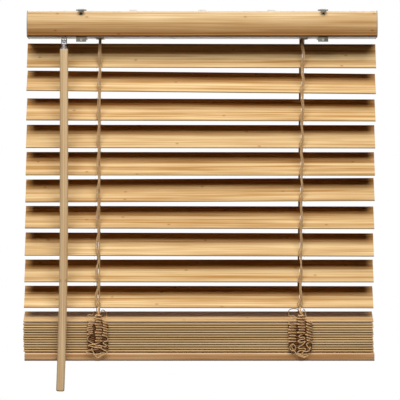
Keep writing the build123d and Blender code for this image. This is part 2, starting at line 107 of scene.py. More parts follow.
def slat_place(number):
    """Middle of a slat, counted from 1 at the top, and its turn about X and Y in radians."""
    if number <= 10:
        index = number - 1
        z = first_slat_z - slat_pitch * index - slat_sags[index] / 1000
        middle = Vector((-0.0011 - 0.00054 * index, centre_y, z))
        return middle, math.radians(slat_tilts[index]), math.radians(slat_dips[index])
    if number == 11:
        return Vector((-0.0065, centre_y, resting_z)), math.radians(resting_tilt), 0.0
    index = number - 12
    shift = -0.0068 + stack_shifts[index] / 1000
    return Vector((shift, centre_y, stack_top_z - stack_pitch * index)), 0.0, 0.0


for number in (1, 10, 11, 12, 23):
    print("slat", number, "middle", [round(x, 4) for x in slat_place(number)[0]])

# %% [markdown]
# ## Cords
# A blind of this kind hangs on thin braided cord. Modelling each yarn would take millions of
# faces, so a cord is a smooth spline with a round section, and its yarns show only as an
# uneven tone in its material. The spline is led by a few given points, because a real
# cord has no corners, and a list of closely spaced points would look like bent wire.

# %% A cord along given points


def cord_curve(name, routes, diameter, steps):
    """Splines of one round cord each, controlled by the routes' points."""
    curve = bpy.data.curves.new(name, "CURVE")
    curve.dimensions = "3D"
    curve.resolution_u = steps
    curve.bevel_depth = diameter / 2
    curve.bevel_resolution = 2
    curve.use_fill_caps = True
    for route in routes:
        spline = curve.splines.new("NURBS")
        spline.points.add(len(route) - 1)
        for point, place in zip(spline.points, route):
            point.co = (*place, 1)
        spline.order_u = 3
        spline.use_endpoint_u = True
    return curve


def cord_piece(name, routes, diameter, steps=6):
    """The cords as one mesh, with its place in the mesh."""
    curve = cord_curve(name, routes, diameter, steps)
    holder = bpy.data.objects.new(name + "_route", curve)
    bpy.context.scene.collection.objects.link(holder)
    mesh = bpy.data.meshes.new_from_object(holder)
    bpy.data.objects.remove(holder)
    for face in mesh.polygons:
        face.use_smooth = True
    piece = bpy.data.objects.new(name, mesh)
    bpy.context.scene.collection.objects.link(piece)
    return piece


cord_pieces = []
print("cords are tubes along NURBS splines of order 3")

# %% [markdown]
# ### The ladders' uprights
# Each ladder has loosely twisted strands in front and two side by side at the back. They
# leave a drum in the headrail, pass every slat's edge, and end in the slack above the stack.
# In front one strand runs nearly straight, and three others cross it and stand off in small
# loops over the slats. On a used blind the strands also creep sideways, so their places are
# listed one by one.

# %% Where an upright passes a slat's edge
strand = 0.0015
# Across the blind in millimetres, at the headrail and then at each of the ten slats
front_places = {
    "left": (-174.7, -174.5, -175.4, -176.2, -176.2, -176.3, -176.7, -176.9, -177.0, -176.7, -177.0),
    "right": (171.4, 171.1, 170.9, 170.4, 169.7, 169.5, 169.4, 169.0, 168.7, 168.2, 167.8),
}
rear_places = {
    "left": (-174.9, -174.8, -175.6, -176.2, -176.2, -176.3, -176.7, -176.9, -177.0, -176.7, -177.0),
    "right": (168.9, 168.7, 168.4, 168.1, 167.7, 167.4, 167.1, 166.8, 166.5, 166.1, 165.7),
}
# How far the crossing strands stand off to the right in millimetres, at two shares of the run
# from one slat to the next. Between the two they pass in front of the slat's slot.
shares = (0.24, 0.88)
crossing_offsets = (
    ((-1.9, -2.6), (-1.8, -4.8), (-2.4, -5.0), (-1.0, -4.6), (-2.2, -3.6),
     (1.2, -4.4), (-1.8, -4.2), (-1.2, -4.9), (1.0, -4.4), (-1.6, -6.6)),
    ((1.6, 3.4), (1.9, -0.9), (1.5, 0.9), (-1.0, 1.9), (1.2, -0.6),
     (1.8, -1.3), (-0.8, 1.6), (1.3, -1.0), (-1.2, 1.6), (0.9, 4.4)),
    ((0.4, -1.0), (-0.6, 1.6), (0.6, -1.4), (1.4, -0.8), (-0.6, 1.5),
     (-1.0, 1.2), (0.8, -1.2), (-0.4, 1.4), (0.8, -1.0), (0.2, -1.8)),
)
# The same strands' places at the slats' slots and at their edges, right of the middle
slot_places = (-1.7, 1.5, -0.1)
edge_places = (-1.4, 0.2, -0.6)
# Where a slat's slot lies on the run below that slat, and half its height there
slot_share = 0.59
slot_half = 0.0055
rear_shifts = (-0.0007, 0.0008)
drum_radius = 0.0162
drum_groove = 0.00115
drum_y = drum_radius + drum_groove
drum_z = 0.002


def edge_point(x, number, side):
    """A point on the upright beside a slat's front edge (side -1) or back edge (side 1)."""
    middle, tilt, dip = slat_place(number)
    across = half_width - edge_radius
    through = slat_thickness / 2 - edge_radius
    out = across * math.cos(tilt) + through * math.sin(tilt) + edge_radius
    rise = across * math.sin(tilt) - through * math.cos(tilt)
    reach = out + soft_gap + strand / 2
    return Vector((x, centre_y + side * reach, middle.z - x * math.tan(dip) + side * rise))


def straight_route(places, side, shift=0.0):
    """An upright from its drum to the tenth slat's edge, at the given places across."""
    start = Vector((places[0] / 1000 + shift, centre_y + side * drum_y, drum_z))
    route = [start, start - Vector((0, 0, 0.03))]
    for number in range(1, 11):
        route.append(edge_point(places[number] / 1000 + shift, number, side))
    return route


def crossing_route(places, x, number):
    """A front strand that crosses the straight one on every run between two slats."""
    straight = straight_route(places, -1)
    edge = Vector((edge_places[number] / 1000, -0.0005 * number, 0))
    route = [straight[0] + edge, straight[1] + edge]
    for index in range(10):
        above = straight[index + 1]
        below = straight[index + 2]
        near, far = (
            above.lerp(below, share) + Vector((offset / 1000, -0.0010, 0))
            for share, offset in zip(shares, crossing_offsets[number][index])
        )
        over = above.lerp(below, slot_share)
        over.x = x + slat_place(index + 1)[0].x + slot_places[number] / 1000
        over.y -= 0.0012
        half = Vector((0, 0, slot_half))
        route += [near, over + half, over - half, far, below + edge]
    return route


for side_name, x in (("left", -ladder_x), ("right", ladder_x)):
    places = front_places[side_name]
    routes = [straight_route(places, -1, 0.0014)]
    routes += [crossing_route(places, x, number) for number in range(3)]
    upright = cord_piece("front_upright_" + side_name, routes, strand, 8)
    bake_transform(upright)
    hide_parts("ladder_front_" + side_name)
    routes = [straight_route(rear_places[side_name], 1, shift) for shift in rear_shifts]
    back = cord_piece("back_upright_" + side_name, routes, strand, 8)
    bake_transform(back)
    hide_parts("ladder_rear_" + side_name)
    cord_pieces += [upright, back]
    print(side_name, "uprights", len(upright.data.polygons), "faces")

# %% [markdown]
# ### From the last hanging slat to the slack
# Below the tenth slat the uprights run down to the slack beside the stack. Their top
# end moves with the tilting ladder and their bottom end stays, so this short stretch is a
# piece of its own.

# %% Short ends of the uprights
stack_front_y = centre_y - half_width
stack_back_y = centre_y + half_width
front_bunch_y = stack_front_y - 0.0003 - 0.00425
rear_bunch_y = stack_back_y + 0.0003 + 0.0019
front_bunch_top = -0.495
rear_bunch_top = -0.511
slack_middles = {"left": -0.1766, "right": 0.1683}
# The front strands in millimetres: shift at the slat, spread on the way, and how far forward
end_strands = ((1.4, -1.2, 0.0), (-1.4, 1.6, 0.0), (0.2, 0.4, 0.5), (-0.6, -0.6, 1.0))


def front_end_routes(side_name):
    """Strands from the tenth slat's edge, drawn together in a knot, to the slack's top."""
    top = edge_point(front_places[side_name][10] / 1000, 10, -1)
    end = Vector((slack_middles[side_name], front_bunch_y, front_bunch_top + 0.0006))
    routes = []
    for shift, spread, forward in end_strands:
        start = top + Vector((shift, -forward, 0)) / 1000
        near = start.lerp(end, 0.35) + Vector((spread, -1.2, 0)) / 1000
        far = start.lerp(end, 0.7) + Vector((-spread, -0.4, 0)) / 1000
        routes.append([start, near, far, end + Vector((spread * 0.8, 0, 0)) / 1000])
    return routes


def rear_end_route(side_name):
    """The back upright from the tenth slat, past the resting slat, to the rear slack."""
    places = rear_places[side_name]
    rest = edge_point(places[10] / 1000, 11, 1)
    end = Vector((slack_middles[side_name], rear_bunch_y, rear_bunch_top + 0.0006))
    return [edge_point(places[10] / 1000, 10, 1), rest + Vector((0, 0.0006, 0.004)), rest, end]


for side_name, x in (("left", -ladder_x), ("right", ladder_x)):
    ends = cord_piece("front_end_" + side_name, front_end_routes(side_name), strand)
    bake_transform(ends)
    back = cord_piece("back_end_" + side_name, [rear_end_route(side_name)], strand)
    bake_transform(back)
    cord_pieces += [ends, back]
    print(side_name, "ends", len(ends.data.polygons) + len(back.data.polygons), "faces")

# %% [markdown]
# ### The slack
# When the blind is drawn up, the ladder between the stacked slats has nowhere to go. It
# folds up in front of the stack in three columns of loops, with a tangle below them that is
# drawn together at the bottom rail. Behind the loops in front lies a second layer in their
# shade. A short rule makes the columns, and listed points the arcs and the tangle.

# %% The front slack
# Columns of loops in millimetres: across from the middle, top and bottom below the slack's
# top, width, number of loops, and how much the loops slant
slack_columns = {
    "left": (
        (0.0, 2.4, 50.0, 10.4, 10, 0.12),
        (-14.6, 16.0, 37.0, 9.0, 6, 0.34),
        (11.2, 15.0, 41.0, 8.0, 6, -0.10),
    ),
    "right": (
        (1.2, 2.4, 36.0, 12.0, 7, 0.10),
        (-14.4, 16.5, 51.0, 12.6, 7, 0.12),
        (14.2, 12.5, 50.0, 9.4, 8, -0.14),
    ),
}
# Points before and after each column in millimetres: across, forward and down
slack_arcs = {
    "left": (
        ((0.8, 0.6, 0.4), (-4.2, 1.6, 1.4), (-7.2, 2.0, 4.6), (-2.6, 2.2, 4.4), (4.0, 1.8, 1.2)),
        ((-2.0, 0.8, -1.6), (-7.4, -1.6, -4.6), (-9.0, -1.6, -1.0), (-11.4, 1.0, 3.6), (-15.6, 2.0, 1.0),
         (-19.0, 1.4, 3.0), (-17.6, 0.4, 6.4), (-13.6, 1.6, 7.4), (-11.6, 1.8, 13.4)),
        ((3.6, 0.8, -2.2), (6.0, -1.6, -7.0), (10.6, -2.2, -4.6), (13.8, -1.8, 0.8), (13.6, 0.2, 5.4),
         (7.4, 1.2, 8.6), (5.6, 2.4, 11.2), (9.4, 2.2, 9.8), (7.6, 1.8, 13.2)),
    ),
    "right": (
        ((0.6, 0.6, 0.4), (4.8, 1.6, 1.4), (1.2, 2.0, 3.2), (-3.6, 1.8, 2.4)),
        ((-2.0, 0.8, -1.6), (-4.4, -1.6, -7.8), (-14.0, -2.4, -8.6), (-20.6, -2.4, -6.4), (-21.4, -1.0, 0.6),
         (-18.6, 1.0, 5.2), (-13.6, 1.6, 3.0), (-8.0, 1.6, 6.2), (-19.2, 1.4, 9.4), (-20.0, 0.8, 14.0)),
        ((3.2, 0.8, -1.8), (4.0, -1.6, -7.0), (7.0, -2.2, -6.6), (7.4, -1.0, -2.0), (8.8, 1.6, 3.6),
         (9.8, 1.6, 9.6)),
    ),
}
slack_tangles = {
    "left": (
        ((-6.6, 2.4, 52.0), (-16.8, 2.2, 53.4), (-18.6, 1.6, 55.2), (-11.6, 2.8, 55.6), (-4.6, 3.0, 58.4),
         (3.0, 3.0, 57.4), (7.2, 2.6, 61.8), (14.6, 1.8, 64.0), (15.2, 1.2, 67.2), (7.4, 2.6, 68.2),
         (2.6, 2.6, 71.4), (-0.6, 2.0, 74.6)),
        ((-18.6, 1.0, 39.4), (-19.2, 0.4, 46.0), (-12.4, 1.4, 49.2), (-6.0, 2.6, 54.2), (2.4, 2.2, 54.0),
         (6.6, 1.2, 58.8), (-7.0, 0.4, 62.0), (-19.6, 1.6, 62.4), (-21.8, 1.6, 65.0), (-17.8, 2.6, 67.4),
         (-10.4, 2.8, 68.0), (-5.6, 2.8, 71.0), (-1.2, 2.6, 68.8), (6.8, 2.8, 66.2), (13.6, 2.6, 68.8),
         (5.4, 2.0, 70.6), (1.4, 2.0, 74.8)),
        ((15.4, 0.8, 40.6), (16.0, 0.4, 46.8), (9.6, 1.8, 47.6), (7.0, 2.6, 51.0), (13.6, 2.2, 53.2),
         (12.2, 2.4, 57.6), (5.0, 2.0, 54.4), (-2.4, 1.4, 56.2), (-14.0, 1.4, 59.2), (-8.6, 1.4, 66.0),
         (-6.2, 2.6, 71.4), (-2.8, 2.6, 75.0), (0.6, 2.0, 75.6)),
    ),
    "right": (
        ((-4.6, 2.2, 38.2), (-1.4, 2.4, 41.2), (5.8, 2.4, 39.6), (7.4, 1.8, 43.4), (-2.8, 2.6, 44.6),
         (-5.8, 2.2, 48.0), (2.6, 2.8, 49.4), (8.6, 2.0, 45.8), (4.4, 2.6, 52.6), (-4.6, 2.6, 56.8),
         (-3.4, 2.2, 60.4), (6.2, 2.8, 58.0), (9.4, 2.2, 63.0), (-1.4, 2.8, 62.4), (-6.8, 2.0, 66.8),
         (-1.6, 2.2, 70.0), (6.4, 1.8, 73.2)),
        ((-18.0, 1.0, 53.8), (-19.0, 0.8, 60.0), (-14.0, 1.8, 64.4), (-8.0, 2.2, 60.4), (-10.4, 2.6, 53.0),
         (-14.8, 2.0, 52.4), (-16.0, 1.2, 58.2), (-9.0, 1.4, 66.6), (-4.4, 2.0, 70.6), (2.0, 2.4, 74.2),
         (7.6, 2.0, 74.8)),
        ((9.0, 1.6, 50.6), (11.0, 2.4, 55.8), (14.8, 1.8, 60.6), (17.0, 1.0, 55.6), (15.6, 1.0, 62.4),
         (9.8, 2.2, 65.4), (5.0, 2.4, 64.0), (0.6, 2.6, 68.8), (8.4, 2.4, 70.4), (14.0, 1.4, 71.2),
         (7.0, 1.8, 74.0), (3.0, 2.0, 74.4)),
    ),
}
layer_gap = 0.0042


def slack_point(middle, depth, across, forward, down):
    return Vector((middle + across / 1000, depth - forward / 1000, front_bunch_top - down / 1000))


def column(middle, depth, size, lean):
    """Loops from side to side down a column, which swing forward and back as they go."""
    across, top, bottom, width, count, slant = size
    step = (bottom - top) / count
    route = []
    for index in range(count):
        down = top + step * index
        wide = width / 2 * (1 + 0.14 * math.sin(index * 2.3 + lean))
        here = across + 0.7 * math.sin(index * 1.7 + lean)
        rise = slant * wide
        for reach, forward, drop in (
            (-1.0, -0.5, -0.06), (-0.9, 1.5, 0.24), (0.9, 1.9, 0.30), (1.0, -0.4, 0.60), (0.5, -1.0, 0.86),
        ):
            level = down + step * drop - rise * reach
            route.append(slack_point(middle, depth, here + reach * wide, forward, level))
    return route


def front_slack_routes(side_name):
    """The three strands in front, and three closer columns behind them."""
    middle = slack_middles[side_name]
    start = Vector((middle, front_bunch_y, front_bunch_top + 0.0006))
    front = front_bunch_y - 0.0012
    routes = []
    parts = zip(slack_columns[side_name], slack_arcs[side_name], slack_tangles[side_name])
    for number, (size, arc, tangle) in enumerate(parts):
        route = [start + Vector((0.001 * (number - 1), 0, 0))]
        route += [slack_point(middle, front_bunch_y, *point) for point in arc]
        route += column(middle, front, size, 1.3 * number)
        route += [slack_point(middle, front_bunch_y, *point) for point in tangle]
        routes.append(route)
    for number, (across, top, bottom, width, count, slant) in enumerate(slack_columns[side_name]):
        size = (across * 0.9, top, 66.0 - number, width + 3.0, count + 9, -slant)
        routes.append(column(middle, front + layer_gap, size, 2.1 + number))
    return routes


for side_name, x in (("left", -ladder_x), ("right", ladder_x)):
    slack = cord_piece("front_slack_" + side_name, front_slack_routes(side_name), strand * 0.9, 5)
    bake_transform(slack)
    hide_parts("ladder_slack_front_" + side_name)
    cord_pieces.append(slack)
    print(side_name, "front slack", len(slack.data.polygons), "faces")

# %% The rear slack
rear_slack_steps = 12
rear_slack_reach = 0.0165
rear_slack_low = -0.5680
rear_slack_end = -0.5690


def rear_slack_route(middle):
    """One strand folded flat against the back of the stack."""
    start = Vector((middle, rear_bunch_y, rear_bunch_top + 0.0006))
    route = [start]
    drop = (rear_bunch_top - 0.0005 - rear_slack_low) / rear_slack_steps
    for index in range(rear_slack_steps):
        z = rear_bunch_top - 0.0015 - drop * index
        reach = rear_slack_reach * (1 + 0.12 * math.sin(index * 1.9)) * (-1) ** index
        deep = 0.0006 * (-1) ** index
        route.append(Vector((middle + reach * 0.55, rear_bunch_y + deep, z + drop * 0.20)))
        route.append(Vector((middle + reach, rear_bunch_y + deep, z - drop * 0.20)))
        route.append(Vector((middle + reach * 0.55, rear_bunch_y - deep, z - drop * 0.62)))
    route.append(Vector((middle, rear_bunch_y, rear_slack_end)))
    return route


for side_name, x in (("left", -ladder_x), ("right", ladder_x)):
    route = rear_slack_route(slack_middles[side_name])
    slack = cord_piece("rear_slack_" + side_name, [route], strand, 5)
    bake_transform(slack)
    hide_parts("ladder_slack_rear_" + side_name)
    cord_pieces.append(slack)
    print(side_name, "rear slack", len(slack.data.polygons), "faces")

# %% [markdown]
# ### Lift cords
# Two cords carry the bottom rail. They come from the spring motor, turn down beside each
# drum, and pass through a slot in every slat to a plug under the bottom rail. They are
# straight, so few points are needed, with pairs near the corner to keep the turn short.

# %% Lift cords
headrail_bottom_z = -0.023
headrail_wall = 0.0008
cradle_base = 0.0022
lift_rise = 0.0008
lift_z = headrail_bottom_z + headrail_wall + cradle_base + lift_cord / 2 + lift_rise
bottom_rail_height = 0.014
plug_depth = 0.006
plug_inside_z = rail_top_z - bottom_rail_height + plug_depth
motor_end = 0.065


def lift_route(x):
    """From the motor's end, round the corner, and down to the bottom rail's plug."""
    side = math.copysign(1, x)
    return [
        Vector((side * motor_end, centre_y, lift_z)),
        Vector((side * 0.120, centre_y, lift_z)),
        Vector((x - side * 0.008, centre_y, lift_z)),
        Vector((x, centre_y, lift_z)),
        Vector((x, centre_y, lift_z - 0.008)),
        Vector((x - 0.0011, centre_y, -0.07)),
        Vector((x - 0.0040, centre_y, -0.35)),
        Vector((x - 0.0065, centre_y, resting_z)),
        Vector((x - 0.0050, centre_y, rail_top_z + 0.01)),
        Vector((x - 0.0046, centre_y, plug_inside_z)),
    ]


for side_name, x in (("left", -ladder_x), ("right", ladder_x)):
    lift = cord_piece("lift_line_" + side_name, [lift_route(x)], lift_cord, 10)
    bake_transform(lift)
    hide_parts("lift_cord_" + side_name)
    cord_pieces.append(lift)
    print(side_name, "lift cord", len(lift.data.polygons), "faces")

# %% [markdown]
# ### Rungs
# Under every slat two thin rungs run from the front upright to the back one on each ladder,
# one on each side of the lift cord's slot. A rung carries its slat, so it moves with it.

# %% Rungs under the slats
rung_cord = 0.0009
rung_spread = 0.0046


def rung_route(x, place):
    """A rung under a slat: down from the front edge, level below it, up at the back edge."""
    under = -slat_thickness / 2 - rung_cord / 2 - 0.00005
    out = half_width + rung_cord / 2 + 0.0001
    points = (
        (x, -out - 0.0003, 0.0006), (x, -out, under * 0.7), (x, -half_width + 0.0014, under),
        (x, -0.008, under), (x, 0.008, under),
        (x, half_width - 0.0014, under), (x, out, under * 0.7), (x, out + 0.0003, 0.0006),
    )
    middle, tilt, dip = place
    turn = Matrix.Rotation(dip, 3, "Y") @ Matrix.Rotation(tilt, 3, "X")
    return [middle + turn @ Vector(point) for point in points]


for number in range(1, 23):
    place = slat_place(number)
    routes = []
    for x in (-ladder_x, ladder_x):
        routes.append(rung_route(x - rung_spread, place))
        routes.append(rung_route(x + rung_spread, place))
    rungs = cord_piece(f"rungs_{number:02d}", routes, rung_cord, 4)
    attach(rungs, f"slat_{number:02d}")
    cord_pieces.append(rungs)
print("rung pieces:", 22)

# %% [markdown]
# ## Light and surroundings
# The picture has one large soft light high in front, so each slat shades the top half of
# the one below. A wide lamp keeps those shades soft at the slats' ends. A weak lamp behind
# keeps the back readable, and the pale floor throws a little light up under the headrail.

# %% Lamps, world and floor


def soft_lamp(name, azimuth, elevation, distance, wide, high, power):
    """A rectangle of light that faces the blind's middle."""
    data = bpy.data.lights.new(name, "AREA")
    data.shape = "RECTANGLE"
    data.size = wide
    data.size_y = high
    data.energy = power
    lamp = bpy.data.objects.new(name, data)
    around = math.radians(azimuth)
    up = math.radians(elevation)
    way = Vector((
        math.sin(around) * math.cos(up), -math.cos(around) * math.cos(up), math.sin(up),
    ))
    lamp.location = Vector((0, centre_y, -0.3)) + way * distance
    lamp.rotation_euler = way.to_track_quat("Z", "Y").to_euler()
    bpy.context.scene.collection.objects.link(lamp)
    return lamp


soft_lamp("key_lamp", 0, 51.5, 6.0, 7.0, 3.55, 530)
soft_lamp("back_lamp", 180, 25, 5.0, 4.0, 2.0, 30)

world = bpy.data.worlds.new("studio")
bpy.context.scene.world = world
world.use_nodes = True
sky = world.node_tree
sky.nodes.clear()
rays = sky.nodes.new("ShaderNodeLightPath")
seen = sky.nodes.new("ShaderNodeMath")
seen.operation = "MAXIMUM"
sky.links.new(rays.outputs["Is Camera Ray"], seen.inputs[0])
sky.links.new(rays.outputs["Is Glossy Ray"], seen.inputs[1])
seen_through = sky.nodes.new("ShaderNodeMath")
seen_through.operation = "MAXIMUM"
sky.links.new(seen.outputs[0], seen_through.inputs[0])
sky.links.new(rays.outputs["Is Transmission Ray"], seen_through.inputs[1])
level = sky.nodes.new("ShaderNodeMapRange")
level.inputs["To Min"].default_value = 0.0
level.inputs["To Max"].default_value = 1.0
sky.links.new(seen_through.outputs[0], level.inputs["Value"])
backdrop = sky.nodes.new("ShaderNodeBackground")
backdrop.inputs["Color"].default_value = (1, 1, 1, 1)
sky.links.new(level.outputs[0], backdrop.inputs["Strength"])
world_output = sky.nodes.new("ShaderNodeOutputWorld")
sky.links.new(backdrop.outputs[0], world_output.inputs["Surface"])

floor_half = 1.1
floor_z = -2.2
floor_grey = 0.80
floor_shape = bmesh.new()
bmesh.ops.create_grid(floor_shape, x_segments=1, y_segments=1, size=floor_half)
bmesh.ops.translate(floor_shape, verts=floor_shape.verts, vec=(0, 0, floor_z))
floor_mesh = bpy.data.meshes.new("floor")
floor_shape.to_mesh(floor_mesh)
floor_shape.free()
floor = bpy.data.objects.new("floor", floor_mesh)
bpy.context.scene.collection.objects.link(floor)
floor_paint = bpy.data.materials.new("floor_paint")
floor_paint.use_nodes = True
floor_shader = floor_paint.node_tree.nodes["Principled BSDF"]
floor_shader.inputs["Base Color"].default_value = (floor_grey, floor_grey, floor_grey, 1)
floor_shader.inputs["Roughness"].default_value = 0.9
floor_mesh.materials.append(floor_paint)
bpy.context.scene.view_settings.view_transform = "Standard"

# %% [markdown]
# ## Finishes
# Each finish is a set of nodes. Two effects come up again and again, bamboo grain and the
# slight unevenness of moulded or painted surfaces, so each of them is a node group.

# %% Helpers for nodes


def colour(red, green, blue):
    """A colour as written in a picture editor, from 0 to 255, in the render's own scale."""
    def linear(value):
        share = value / 255
        return share / 12.92 if share <= 0.04045 else ((share + 0.055) / 1.055) ** 2.4
    return (linear(red), linear(green), linear(blue), 1.0)


def feed(tree, socket, value):
    """Links a socket to another one, or sets its value."""
    if isinstance(value, bpy.types.NodeSocket):
        tree.links.new(value, socket)
    else:
        socket.default_value = value


def maths(tree, operation, *values):
    node = tree.nodes.new("ShaderNodeMath")
    node.operation = operation
    for socket, value in zip(node.inputs, values):
        feed(tree, socket, value)
    return node.outputs[0]


def mapped(tree, value, low, high, to_low, to_high, smooth=False):
    node = tree.nodes.new("ShaderNodeMapRange")
    if smooth:
        node.interpolation_type = "SMOOTHSTEP"
    for socket, part in zip(node.inputs, (value, low, high, to_low, to_high)):
        feed(tree, socket, part)
    return node.outputs[0]


def mixed(tree, share, first, second, blend="MIX"):
    node = tree.nodes.new("ShaderNodeMix")
    node.data_type = "RGBA"
    node.blend_type = blend
    feed(tree, node.inputs[0], share)
    feed(tree, node.inputs[6], first)
    feed(tree, node.inputs[7], second)
    return node.outputs[2]


def combined(tree, x, y, z):
    node = tree.nodes.new("ShaderNodeCombineXYZ")
    for socket, value in zip(node.inputs, (x, y, z)):
        feed(tree, socket, value)
    return node.outputs[0]


def noise(tree, vector, scale, detail=2.0, rough=0.5):
    node = tree.nodes.new("ShaderNodeTexNoise")
    feed(tree, node.inputs["Vector"], vector)
    node.inputs["Scale"].default_value = scale
    node.inputs["Detail"].default_value = detail
    node.inputs["Roughness"].default_value = rough
    return node.outputs["Fac"]


def new_group(name, inputs, outputs):
    group = bpy.data.node_groups.new(name, "ShaderNodeTree")
    for label, kind, start in inputs:
        socket = group.interface.new_socket(name=label, in_out="INPUT", socket_type=kind)
        if start is not None:
            socket.default_value = start
    for label, kind in outputs:
        group.interface.new_socket(name=label, in_out="OUTPUT", socket_type=kind)
    return group, group.nodes.new("NodeGroupInput").outputs, group.nodes.new("NodeGroupOutput").inputs


# %% Bamboo grain
grain_group, given, result = new_group(
    "bamboo grain",
    [
        ("Vector", "NodeSocketVector", None),
        ("Light", "NodeSocketColor", (0.7, 0.5, 0.3, 1)),
        ("Dark", "NodeSocketColor", (0.5, 0.3, 0.1, 1)),
        ("Edge", "NodeSocketColor", (0.5, 0.4, 0.2, 1)),
        ("Strip Width", "NodeSocketFloat", 0.0055),
        ("Half Width", "NodeSocketFloat", 1.0),
        ("Knuckle Gap", "NodeSocketFloat", 0.27),
        ("Seed", "NodeSocketFloat", 0.0),
    ],
    [
        ("Color", "NodeSocketColor"),
        ("Roughness", "NodeSocketFloat"),
        ("Height", "NodeSocketFloat"),
    ],
)
tree = grain_group
split = tree.nodes.new("ShaderNodeSeparateXYZ")
tree.links.new(given["Vector"], split.inputs[0])
along, across, through = split.outputs
seed = given["Seed"]
strip = maths(tree, "ADD", maths(tree, "DIVIDE", across, given["Strip Width"]), seed)
strip_number = maths(tree, "FLOOR", strip)
chance = tree.nodes.new("ShaderNodeTexWhiteNoise")
chance.noise_dimensions = "1D"
feed(tree, chance.inputs["W"], maths(tree, "MULTIPLY_ADD", seed, 7.31, strip_number))
luck = chance.outputs["Value"]
shifted = maths(tree, "MULTIPLY_ADD", seed, 3.7, along)
fibre = noise(tree, combined(
    tree, maths(tree, "MULTIPLY", shifted, 6.0),
    maths(tree, "MULTIPLY", across, 430.0), maths(tree, "MULTIPLY", through, 430.0),
), 1.0, 3.0, 0.6)
bands = noise(tree, combined(
    tree, maths(tree, "MULTIPLY", shifted, 3.0),
    maths(tree, "MULTIPLY", across, 210.0), maths(tree, "MULTIPLY", through, 210.0),
), 1.0, 2.0, 0.5)
patches = noise(tree, combined(
    tree, maths(tree, "MULTIPLY", shifted, 9.0),
    maths(tree, "MULTIPLY", across, 45.0), maths(tree, "MULTIPLY", through, 45.0),
), 1.0, 2.0, 0.5)
tone = maths(tree, "MULTIPLY_ADD", fibre, 0.75, maths(tree, "MULTIPLY", luck, 0.30))
tone = maths(tree, "MULTIPLY_ADD", bands, 0.90, tone)
tone = maths(tree, "MULTIPLY_ADD", patches, 0.35, tone)
tone = mapped(tree, tone, 0.85, 1.45, 0.0, 1.0)
body = mixed(tree, tone, given["Light"], given["Dark"])
cells = maths(tree, "ADD", maths(tree, "DIVIDE", along, given["Knuckle Gap"]),
              maths(tree, "MULTIPLY", luck, 5.0))
pick = tree.nodes.new("ShaderNodeTexWhiteNoise")
pick.noise_dimensions = "2D"
feed(tree, pick.inputs["Vector"], combined(
    tree, maths(tree, "FLOOR", cells), maths(tree, "MULTIPLY_ADD", seed, 3.1, strip_number), 0.0))
there = maths(tree, "LESS_THAN", pick.outputs["Value"], 0.3)
place_in_strip = maths(tree, "FRACT", strip)
aside = maths(tree, "MULTIPLY", maths(tree, "SUBTRACT", maths(tree, "FRACT", cells), 0.5),
              maths(tree, "DIVIDE", given["Knuckle Gap"], 0.0040))
off = maths(tree, "MULTIPLY", maths(tree, "SUBTRACT", place_in_strip, 0.5),
            maths(tree, "DIVIDE", given["Strip Width"], 0.0022))
reach = tree.nodes.new("ShaderNodeVectorMath")
reach.operation = "LENGTH"
feed(tree, reach.inputs[0], combined(tree, aside, off, 0.0))
spot = mapped(tree, reach.outputs["Value"], 0.15, 1.1, 1.0, 0.0, True)
knuckle = maths(tree, "MULTIPLY", there, spot)
from_seam = maths(tree, "MINIMUM", place_in_strip, maths(tree, "SUBTRACT", 1.0, place_in_strip))
seam_distance = maths(tree, "MULTIPLY", from_seam, given["Strip Width"])
seam = mapped(tree, seam_distance, 0.0, 0.00028, 1.0, 0.0, True)
deep = mixed(tree, 1.0, given["Dark"], (0.62, 0.5, 0.4, 1), "MULTIPLY")
reddish = mixed(tree, 1.0, given["Dark"], (0.66, 0.50, 0.42, 1), "MULTIPLY")
body = mixed(tree, maths(tree, "MULTIPLY", knuckle, 0.6), body, reddish)
body = mixed(tree, maths(tree, "MULTIPLY", seam, 0.30), body, deep)
outer = maths(tree, "SUBTRACT", given["Half Width"], maths(tree, "ABSOLUTE", across))
cut = mapped(tree, outer, 0.0003, 0.0012, 1.0, 0.0, True)
cut_tone = mixed(tree, maths(tree, "MULTIPLY", tone, 0.8), given["Edge"], mixed(
    tree, 1.0, given["Edge"], (0.66, 0.6, 0.52, 1), "MULTIPLY"))
feed(tree, result["Color"], mixed(tree, cut, body, cut_tone))
feed(tree, result["Roughness"], mapped(tree, fibre, 0.3, 0.7, 0.46, 0.62))
height = maths(tree, "MULTIPLY_ADD", knuckle, 0.6, fibre)
feed(tree, result["Height"], maths(tree, "MULTIPLY_ADD", seam, -0.5, height))
print("bamboo grain:", len(tree.nodes), "nodes")

# %% Unevenness of moulded and painted surfaces
uneven_group, given, result = new_group(
    "uneven surface",
    [
        ("Vector", "NodeSocketVector", None),
        ("Color", "NodeSocketColor", (0.8, 0.8, 0.8, 1)),
        ("Worn", "NodeSocketColor", (0.6, 0.6, 0.6, 1)),
        ("Smooth", "NodeSocketFloat", 0.3),
        ("Rough", "NodeSocketFloat", 0.5),
        ("Size", "NodeSocketFloat", 0.004),
    ],
    [
        ("Color", "NodeSocketColor"),
        ("Roughness", "NodeSocketFloat"),
        ("Height", "NodeSocketFloat"),
    ],
)
tree = uneven_group
scaled = tree.nodes.new("ShaderNodeVectorMath")
scaled.operation = "SCALE"
tree.links.new(given["Vector"], scaled.inputs[0])
feed(tree, scaled.inputs["Scale"], maths(tree, "DIVIDE", 1.0, given["Size"]))
fine = noise(tree, scaled.outputs[0], 1.0, 3.0, 0.6)
broad = noise(tree, scaled.outputs[0], 0.12, 2.0, 0.5)
patch = mapped(tree, broad, 0.45, 0.75, 0.0, 1.0, True)
feed(tree, result["Color"], mixed(tree, patch, given["Color"], given["Worn"]))
feed(tree, result["Roughness"], mapped(tree, fine, 0.3, 0.7, given["Smooth"], given["Rough"]))
feed(tree, result["Height"], fine)
print("uneven surface:", len(tree.nodes), "nodes")

# %% Materials from the two groups


